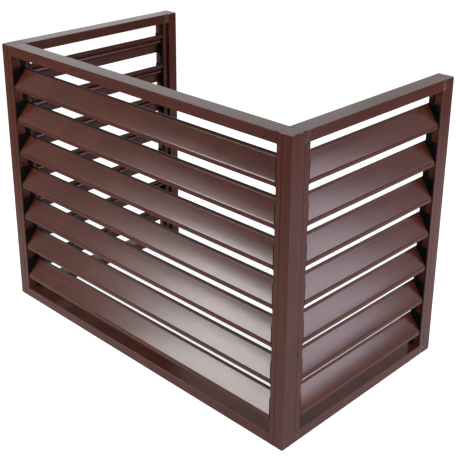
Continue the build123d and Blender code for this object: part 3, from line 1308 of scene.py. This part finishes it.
@dataclass(frozen=True)
class CornerBlocks:
    """Moulded blocks that join a side rail, its stile and the post with three tongues."""

    corner: float = 0.7 * MM
    corner_segments: int = 2
    rail_margin: float = 1.7 * MM
    stile_margin: float = 1.6 * MM
    tongue_width: float = 20.0 * MM
    tongue_height: float = 8.0 * MM
    rear_tongue_drop: float = 20.0 * MM
    core_reach: float = 4.0 * MM

    @staticmethod
    def _body(shop: Workshop, corner: Corner) -> Extent:
        """The visible part of a block, between rail, stile and post.

        Args:
            shop: The workshop.
            corner: The block's corner.

        Returns:
            The box of that part.
        """
        rail, stile = shop.extent(corner.rail), shop.extent(corner.stile)
        low = Vector((rail.low.x, stile.low.y, rail.low.z))
        return Extent(low, Vector((rail.high.x, stile.high.y, rail.high.z)))

    @classmethod
    def post_tongue(cls, shop: Workshop, corner: Corner) -> Extent:
        """The box of the tongue that reaches into the post.

        Args:
            shop: The workshop.
            corner: The block's corner.

        Returns:
            The tongue's box.
        """
        end, level = corner.end.value, corner.level.value
        body = cls._body(shop, corner)
        middle = body.centre
        if corner.end is End.REAR:
            middle.z = body.limit(Axis.Z, level) - level * cls.rear_tongue_drop
        near, far = sorted((body.limit(Axis.Y, end), shop.extent(corner.block).limit(Axis.Y, end)))
        half_width, half_height = cls.tongue_width / 2, cls.tongue_height / 2
        low = Vector((middle.x - half_width, near, middle.z - half_height))
        return Extent(low, Vector((middle.x + half_width, far, middle.z + half_height)))

    def build(self, shop: Workshop) -> None:
        """Build the blocks."""
        for side, end, level in product(Side, End, Level):
            self._block(shop, Corner(side, end, level))

    def _block(self, shop: Workshop, corner: Corner) -> None:
        """One block.

        Args:
            shop: The workshop.
            corner: Its corner.
        """
        body = self._body(shop, corner)
        stile = shop.extent(corner.stile)
        toward_rail, toward_stile = -corner.end.value, -corner.level.value
        block = Workpiece.block(corner.block, body.low, body.high)
        block.bevel(along(Axis.Y), self.corner, self.corner_segments)
        whole = shop.extent(corner.block)
        self._grow(block, whole, Axis.Y, toward_rail, self.rail_margin, body.centre)
        seat = all_of(facing(unit(Axis.Z, toward_stile)), at(Axis.Z, body.limit(Axis.Z, toward_stile)))
        block.bisect(seat, Axis.X, stile.limit(Axis.X, -corner.side.value))
        self._grow(block, whole, Axis.Z, toward_stile, self.stile_margin, stile.centre)
        tongue = self.post_tongue(shop, corner)
        block.join([Workpiece.block("post_tongue", tongue.low, tongue.high)])
        shop.drill(block)
        shop.deliver(block, corner.block, Slot.BLOCKS)

    def _grow(
        self,
        block: Workpiece,
        whole: Extent,
        axis: Axis,
        sign: int,
        margin: float,
        centre: Vector,
    ) -> None:
        """Grow a tongue out of the outermost face that looks one way.

        Args:
            block: The block.
            whole: The box of the whole block, which says how far the tongue reaches.
            axis: The tongue's direction.
            sign: Its sense.
            margin: The step from the outline in to the tongue.
            centre: A point on the tongue's axis.
        """
        level = Extent.around(block.corners).limit(axis, sign)
        core = near_line(axis, centre, self.core_reach)
        face = all_of(facing(unit(axis, sign)), at(axis, level), core)
        block.inset(face, margin)
        block.extrude_faces(face, unit(axis, sign) * abs(whole.limit(axis, sign) - level))


@dataclass(frozen=True)
class BladeStock:
    """The louvre extrusion: upstand, slope, round nose with a hollow box, and a screw port."""

    sheet: float = 1.4 * MM
    inset: float = 2.0 * MM
    lip: float = 10.0 * MM
    box: float = 9.5 * MM
    upstand: float = 8.0 * MM
    crown: float = 0.7 * MM
    crown_segments: int = 8
    nose_radius: float = 7.0 * MM
    nose_segments: int = 6
    fold_radius: float = 1.4 * MM
    fold_segments: int = 3
    lip_segments: int = 4
    heel_radius: float = 0.7 * MM
    heel_segments: int = 2
    weld: float = 0.2 * MM
    port_depth: float = 21.5 * MM
    port_radius: float = 3.3 * MM
    port_bore: float = 1.7 * MM
    port_sides: int = 24
    port_slit: float = 36.0
    edge: float = 0.2 * MM
    edge_angle: float = 60.0

    def slope(self, height: float, depth: float) -> tuple[float, float]:
        """Run and rise of the sloping face of a blade of a height and depth."""
        return depth - self.sheet - self.inset, height - self.upstand - self.lip

    def _bulge(self, share: float) -> float:
        """How far the crowned face stands out at a share of the slope's length."""
        return 4.0 * self.crown * share * (1.0 - share)

    def _face(self, run: float, rise: float) -> list[Vector]:
        """The steps down the crowned face, from the fold to the nose.

        Args:
            run: The slope's depth.
            rise: Its height.

        Returns:
            One step for each segment.
        """
        out = Vector((0.0, -rise, run)).normalized()
        shares = [number / self.crown_segments for number in range(self.crown_segments + 1)]
        points = [Vector((0.0, -run, -rise)) * share + out * self._bulge(share) for share in shares]
        return [after - before for before, after in pairwise(points)]

    def port_centre(self, height: float, depth: float) -> Vector:
        """The screw port's axis in a blade of a height and depth.

        Args:
            height: The blade's height.
            depth: From the panel's face to the blade's back.

        Returns:
            The middle of the axis.
        """
        run, rise = self.slope(height, depth)
        angle = math.atan2(rise, run)
        off = self.sheet + self.port_bore + (self.port_radius - self.port_bore) / 2
        face = self.lip + (self.port_depth - self.inset) * rise / run
        return Vector((0.0, self.port_depth + off * math.sin(angle), face - off * math.cos(angle)))

    def model(self, length: float, height: float, depth: float) -> Workpiece:
        """A blade along X, with the panel's face in y = 0 and its drip edge in z = 0.

        Args:
            length: Its length.
            height: Its height.
            depth: From the panel's face to the blade's back.

        Returns:
            The blade.
        """
        run, rise = self.slope(height, depth)
        outer, foot = depth - self.sheet, height - self.upstand
        angle = math.atan2(rise, run)
        above = self._bulge(self.box / run) - self.sheet
        box_height = self.lip + self.box * rise / run + above / math.cos(angle) + self.weld
        nose_box = (unit(Axis.Z) * -self.lip, unit(Axis.Y) * self.box, unit(Axis.Z) * box_height)
        blade = Workpiece.upright_sheet("blade", length, outer, foot, height)
        blade.extrude_edge(at(Axis.Z, foot), (*self._face(run, rise), *nose_box))
        blunt = QUARTER_TURN - angle
        for y, z, radius, turn, segments in (
            (self.inset, self.lip, self.nose_radius, blunt, self.nose_segments),
            (outer, foot, self.fold_radius, blunt, self.fold_segments),
            (self.inset, 0.0, self.fold_radius, QUARTER_TURN, self.lip_segments),
            (self.inset + self.box, 0.0, self.heel_radius, QUARTER_TURN, self.heel_segments),
        ):
            fold = near_line(Axis.X, Vector((0.0, y, z)))
            blade.bevel(fold, radius * math.tan(turn / 2), segments)
        blade.thicken(self.sheet)
        blade.join([self._port(length, self.port_centre(height, depth), angle)])
        blade.break_edges(self.edge, 1, self.edge_angle)
        return blade

    def _port(self, length: float, centre: Vector, angle: float) -> Workpiece:
        """The C-shaped screw port under the slope.

        Args:
            length: The blade's length.
            centre: The port's middle.
            angle: The slope's angle.

        Returns:
            The port.
        """
        port = Workpiece.rod("port", self.port_radius, length, centre, self.port_sides, "NOTHING")
        mouth = Vector((0.0, math.sin(angle), -math.cos(angle)))
        half = math.cos(math.radians(self.port_slit / 2))
        port.delete_faces(lambda middle, normal: normal.dot(mouth) > half)
        port.thicken(self.port_radius - self.port_bore)
        return port


@dataclass(frozen=True)
class Panel:
    """One louvre panel: where it is, and the sizes that its blades and holders share.

    Attributes:
        name: Its name in the nodes.
        run: The direction of its blades.
        out: The axis that it faces along.
        sign: The sense in which it faces.
        hand: The sense in which the front panel's +X lies along the run, once it is turned.
        ends: The sense along the run of each end, by its word.
        uprights: The box of the upright at each end, by the same word.
        rail: The box of its top rail.
        blades: The boxes of its blades, from the top.
    """

    name: str
    run: Axis
    out: Axis
    sign: int
    hand: int
    ends: dict[str, int]
    uprights: dict[str, Extent]
    rail: Extent
    blades: list[Extent]

    @property
    def face(self) -> float:
        """The place of its outer face."""
        return self.rail.limit(self.out, self.sign)

    @property
    def depth(self) -> float:
        """From its face to a blade's back."""
        return abs(self.blades[0].limit(self.out, -self.sign) - self.face)

    @property
    def member(self) -> float:
        """Depth of an upright."""
        return next(iter(self.uprights.values())).size[self.out.value]

    @property
    def blade_height(self) -> float:
        """Height of a blade."""
        return self.blades[0].size.z

    @property
    def heights(self) -> list[float]:
        """The blades' drip edges."""
        return [blade.low.z for blade in self.blades]

    def place(self, along_run: float) -> Matrix:
        """Brings a pattern whose face is y = 0 to the panel's face, at a place along the run.

        Args:
            along_run: The place along the run.

        Returns:
            The turn and move.
        """
        origin = unit(self.out) * self.face + unit(self.run) * along_run
        turn = 0.0 if self.run is Axis.X else self.hand * QUARTER_TURN
        return Matrix.Translation(origin) @ Matrix.Rotation(turn, 4, "Z")


@dataclass(frozen=True)
class HolderStock:
    """A black strip with a plate and two pegs at each blade end."""

    thickness: float = 3.0 * MM
    strip_width: float = 12.5 * MM
    rear_margin: float = 1.0 * MM
    front_margin: float = 1.2 * MM
    plate_drop: float = 1.0 * MM
    top_round: float = 5.0 * MM
    bottom_round: float = 2.0 * MM
    round_segments: int = 5
    edge: float = 0.35 * MM
    peg_length: float = 9.0 * MM
    peg_sides: int = 12
    peg_clearance: float = 0.2 * MM

    def model(self, panel: Panel, span: tuple[float, float], blade: BladeStock) -> Workpiece:
        """A holder for the +X end of a panel, with the panel's face in y = 0 and its back in x = 0.

        Args:
            panel: The panel.
            span: The strip's lower and upper end.
            blade: The blades' extrusion.

        Returns:
            The holder.
        """
        strip_rear = panel.member - self.rear_margin
        strip_front = strip_rear - self.strip_width
        low = Vector((-self.thickness, strip_front, span[0]))
        holder = Workpiece.block("holder", low, Vector((0.0, strip_rear, span[1])))
        for height in panel.heights:
            for level in (height - self.plate_drop, height + panel.blade_height):
                holder.bisect(everywhere, Axis.Z, level)
        half = panel.blade_height / 2
        beside_blades = any_of(*(at(Axis.Z, height + half, half) for height in panel.heights))
        forward = unit(Axis.Y, -1)
        reach = strip_front - self.front_margin
        holder.extrude_faces(all_of(facing(forward), beside_blades), forward * reach)
        plate_front = all_of(at(Axis.Y, self.front_margin), along(Axis.X))
        for offset, radius in ((panel.blade_height, self.top_round), (-self.plate_drop, self.bottom_round)):
            corners = any_of(*(at(Axis.Z, height + offset) for height in panel.heights))
            holder.bevel(all_of(plate_front, corners), radius, self.round_segments)
        holder.break_edges(self.edge)
        holder.join([peg for height in panel.heights for peg in self._pegs(height, panel, blade)])
        return holder

    def _pegs(self, height: float, panel: Panel, blade: BladeStock) -> list[Workpiece]:
        """The two pegs of one blade end.

        Args:
            height: The blade's drip edge.
            panel: The panel.
            blade: The blades' extrusion.

        Returns:
            The round peg and the nose peg.
        """
        reach = self.thickness / 2 + self.peg_length
        start = -self.thickness - self.peg_length
        middle = blade.port_centre(panel.blade_height, panel.depth)
        middle += Vector((start + reach / 2, 0.0, height))
        radius = blade.port_bore - self.peg_clearance
        round_peg = Workpiece.rod("port_peg", radius, reach, middle, self.peg_sides)
        wall = blade.sheet + self.peg_clearance
        low = Vector((start, blade.inset + wall, height + wall))
        high = Vector((start + reach, blade.inset + blade.box - wall, height + blade.lip - wall))
        nose_peg = Workpiece.block("nose_peg", low, high)
        nose_peg.break_edges(self.edge, 1)
        return [round_peg, nose_peg]


@dataclass(frozen=True)
class Louvres:
    """The blades of the three panels and the holders that carry their ends."""

    blade: BladeStock = BladeStock()
    holder: HolderStock = HolderStock()
    blades_per_panel: int = 7
    # Strength of the painted shade on the upstands: full on the front panel, weaker on the side panels.
    front_grime: float = 1.0
    side_grime: float = 0.4

    def build(self, shop: Workshop) -> None:
        """Build the three panels.

        Args:
            shop: The workshop.
        """
        for panel in (self._front(shop), *(self._side(shop, side) for side in Side)):
            self._blades(shop, panel)
            self._holders(shop, panel)

    def _measured(self, shop: Workshop, name: str) -> dict[str, object]:
        """What every panel reads in the same way: its name, its top rail and its blades.

        Args:
            shop: The workshop.
            name: The panel's name.

        Returns:
            Those fields of the panel.
        """
        nodes = [f"{name}_blade_{number + 1}" for number in range(self.blades_per_panel)]
        return {
            "name": name,
            "rail": shop.extent(f"{name}_top_rail"),
            "blades": [shop.extent(node) for node in nodes],
        }

    def _front(self, shop: Workshop) -> Panel:
        """The front panel, between the front posts.

        Args:
            shop: The workshop.

        Returns:
            The panel.
        """
        return Panel(
            run=Axis.X,
            out=Axis.Y,
            sign=End.FRONT.value,
            hand=1,
            ends={side.word: side.value for side in Side},
            uprights={side.word: shop.extent(f"front_{side.word}_post") for side in Side},
            **self._measured(shop, "front"),
        )

    def _side(self, shop: Workshop, side: Side) -> Panel:
        """A side panel, between its stiles.

        Args:
            shop: The workshop.
            side: Its side.

        Returns:
            The panel.
        """
        return Panel(
            run=Axis.Y,
            out=Axis.X,
            sign=side.value,
            hand=side.value,
            ends={end.word: end.value for end in End},
            uprights={end.word: shop.extent(f"{side.word}_{end.word}_stile") for end in End},
            **self._measured(shop, side.word),
        )

    def _blades(self, shop: Workshop, panel: Panel) -> None:
        """The blades of a panel, modelled once.

        Args:
            shop: The workshop.
            panel: The panel.
        """
        *_, above, lowest = panel.blades
        # The blades' upstands get painted shade, full on the front panel and weaker on the sides.
        share = self.front_grime if panel.run is Axis.X else self.side_grime
        grime = Grime(lowest.high.z, above.low.z - lowest.low.z, share)
        coat = replace(BROWN, name=f"{panel.name}_blade_coat", grain=panel.run, grime=grime).material()
        pattern = self.blade.model(lowest.size[panel.run.value], lowest.size.z, panel.depth)
        place = panel.place(panel.rail.centre[panel.run.value])
        for number, height in enumerate(panel.heights, 1):
            node = f"{panel.name}_blade_{number}"
            blade = pattern.copy(node, Matrix.Translation(unit(Axis.Z) * height) @ place)
            shop.deliver(blade, node, Slot.COAT, coat)
        pattern.scrap()

    def _holders(self, shop: Workshop, panel: Panel) -> None:
        """The two holders of a panel, modelled once.

        Args:
            shop: The workshop.
            panel: The panel.
        """
        nodes = {end: f"{panel.name}_{end}_blade_holder" for end in panel.ends}
        whole = shop.extent(next(iter(nodes.values())))
        pattern = self.holder.model(panel, (whole.low.z, whole.high.z), self.blade)
        for end, sign in panel.ends.items():
            place = panel.place(panel.uprights[end].limit(panel.run, -sign))
            mirror = Matrix.Diagonal((float(sign * panel.hand), 1.0, 1.0, 1.0))
            holder = pattern.copy(nodes[end], place @ mirror)
            shop.drill(holder)
            shop.deliver(holder, nodes[end], Slot.PLASTIC)
        pattern.scrap()


class Screws:
    """All the screws, copied onto their seats."""

    def build(self, shop: Workshop) -> None:
        """Build both groups of screws, with one pattern for each length.

        Args:
            shop: The workshop.
        """
        for node, seats in shop.seats.items():
            patterns: dict[float, Workpiece] = {}
            copies = []
            for seat in seats:
                length = round(seat.length / MM, 2)
                if length not in patterns:
                    patterns[length] = shop.screw.model(seat)
                copies.append(patterns[length].copy("screw_copy", seat.placement))
            copies[0].join(copies[1:])
            shop.deliver(copies[0], node, Slot.SCREWS)
            for pattern in patterns.values():
                pattern.scrap()


# The stage: floor, light and camera

@dataclass(frozen=True)
class Softbox:
    """A square lamp that points at the object's middle."""

    name: str
    azimuth: float
    elevation: float
    radiance: float
    size: float
    colour: Colour = (1.0, 1.0, 1.0)
    distance: float = 3.4

    def hang(self, target: Vector) -> None:
        """Put the lamp in its place.

        Args:
            target: The point that it lights.
        """
        lamp = bpy.data.lights.new(self.name, "AREA")
        lamp.shape = "SQUARE"
        lamp.size = self.size
        lamp.color = self.colour
        lamp.energy = self.radiance * math.pi * self.size**2
        holder = bpy.data.objects.new(self.name, lamp)
        bpy.context.scene.collection.objects.link(holder)
        direction = heading(self.azimuth, self.elevation)
        holder.location = target + direction * self.distance
        holder.rotation_mode = "QUATERNION"
        holder.rotation_quaternion = direction.to_track_quat("Z", "Y")


@dataclass(frozen=True)
class Studio:
    """Plain pale floor and plain soft light."""

    floor_size: float = 30.0
    floor_drop: float = 0.6 * MM
    floor_colour: Colour = (0.72, 0.72, 0.72)
    far_colour: Colour = (0.22, 0.22, 0.22)
    pale_centre: tuple[float, float, float] = (0.3, 0.3, 0.0)
    near_radius: float = 0.8
    far_radius: float = 2.2
    near_glow: float = 0.65
    gloss_glow: float = 0.55
    ambient: float = 0.04
    softboxes: tuple[Softbox, ...] = (
        Softbox("front_left_key", 241.0, 17.3, radiance=34.0, size=1.16),
        Softbox("front_left_upper", 231.0, 24.5, radiance=4.5, size=0.9),
        Softbox("right_key", 33.3, 22.3, radiance=15.5, size=1.27, colour=(0.96, 0.93, 1.07)),
        Softbox("front_right_fill", 345.0, 12.0, radiance=31.0, size=0.85, colour=(1.0, 1.0, 1.04)),
        Softbox("back_fill", 138.0, 22.0, radiance=0.4, size=2.0),
        Softbox("top_fill", 0.0, 88.0, radiance=3.5, size=1.4),
    )

    def build(self) -> None:
        """Make the world, the floor and the lamps."""
        self._world()
        self._floor()
        low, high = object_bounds()
        for softbox in self.softboxes:
            softbox.hang((low + high) / 2)

    def _world(self) -> None:
        """White where the camera, gloss or glass looks, and a plain level for soft light."""
        world = bpy.data.worlds.new("plain_studio")
        bpy.context.scene.world = world
        shader = Shader(world)
        seen, gloss, clear = (shader.ray(kind) for kind in ("Camera", "Glossy", "Transmission"))
        strength = seen.highest(gloss).highest(clear) * (1.0 - self.ambient) + self.ambient
        sky = shader.node("ShaderNodeBackground", None, {"Color": WHITE, "Strength": strength})
        shader.node("ShaderNodeOutputWorld", None, {"Surface": sky})

    def _far(self, shader: Shader) -> Socket:
        """Zero on the floor near the screen and one far from it.

        Args:
            shader: The floor's shader.

        Returns:
            The value as a socket.
        """
        places = {0: shader.object_place(), 1: self.pale_centre}
        distance = shader.node("ShaderNodeVectorMath", {"operation": "DISTANCE"}, places, "Value")
        reach = {"Value": distance, "From Min": self.near_radius, "From Max": self.far_radius}
        return shader.node("ShaderNodeMapRange", {"interpolation_type": "SMOOTHSTEP"}, reach)

    def _floor(self) -> None:
        """A wide pale floor that keeps the object's shadow."""
        Workpiece.clear_bench()
        bpy.ops.mesh.primitive_plane_add(size=self.floor_size, location=(0.0, 0.0, -self.floor_drop))
        floor = bpy.context.object
        floor.name = "studio_floor"
        shader = Shader(bpy.data.materials.new("pale_floor"))
        far = self._far(shader)
        colour = shader.blend(far, self.floor_colour, self.far_colour)
        paint = shader.node("ShaderNodeBsdfDiffuse", None, {"Color": colour})
        seen, gloss = shader.ray("Camera"), shader.ray("Glossy")
        seen_glow = seen * (far * (1.0 - self.near_glow) + self.near_glow)
        glow = seen_glow + gloss * (self.gloss_glow - far * self.gloss_glow)
        white = shader.node("ShaderNodeEmission", None, {"Color": WHITE, "Strength": glow})
        surface = shader.node("ShaderNodeAddShader", None, {0: paint, 1: white})
        shader.node("ShaderNodeOutputMaterial", None, {"Surface": surface})
        floor.data.materials.append(shader.owner)
        floor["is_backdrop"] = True


@dataclass(frozen=True)
class Camera:
    """The photograph's viewpoint, found from the screen's corners."""

    azimuth: float = 44.2775
    elevation: float = 20.8123
    roll: float = -0.3464
    focal_pixels: float = 931.25
    centre_pixel: tuple[float, float] = (228.0, 150.0)
    from_front_left_foot: tuple[float, float, float] = (1.9791, -1.2220, 1.2780)
    sensor: float = 36.0

    def build(self) -> None:
        """Make the camera and set it as the scene's."""
        data = bpy.data.cameras.new("photo_camera")
        data.sensor_fit = "AUTO"
        data.sensor_width = self.sensor
        long_side = max(PHOTO_WIDTH, PHOTO_HEIGHT)
        data.lens = self.focal_pixels * self.sensor / long_side
        data.shift_x = (PHOTO_WIDTH / 2 - self.centre_pixel[0]) / long_side
        data.shift_y = (self.centre_pixel[1] - PHOTO_HEIGHT / 2) / long_side
        camera = bpy.data.objects.new("photo_camera", data)
        bpy.context.scene.collection.objects.link(camera)
        camera.matrix_world = self._placement()
        bpy.context.scene.camera = camera

    def _placement(self) -> Matrix:
        """The camera's place and axes.

        Returns:
            The camera's matrix.
        """
        roll = math.radians(self.roll)
        right = heading(self.azimuth, 0.0)
        forward = heading(self.azimuth + 90.0, -self.elevation)
        down = forward.cross(right)
        level_right = right * math.cos(roll) + down * math.sin(roll)
        level_down = down * math.cos(roll) - right * math.sin(roll)
        low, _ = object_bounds()
        axes = Matrix((level_right, -level_down, -forward)).transposed().to_4x4()
        return Matrix.Translation(low + Vector(self.from_front_left_foot)) @ axes


def main() -> None:
    """Build the whole picture."""
    logging.basicConfig(level=logging.INFO, format="%(name)s: %(message)s")
    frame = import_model()
    bpy.context.scene.view_settings.view_transform = "Standard"
    shop = Workshop(frame)
    for assembly in (Posts(), Caps(), Rails(), Stiles(), CornerBlocks(), Louvres(), Screws()):
        assembly.build(shop)
    Studio().build()
    Camera().build()


if __name__ == "__main__":
    main()
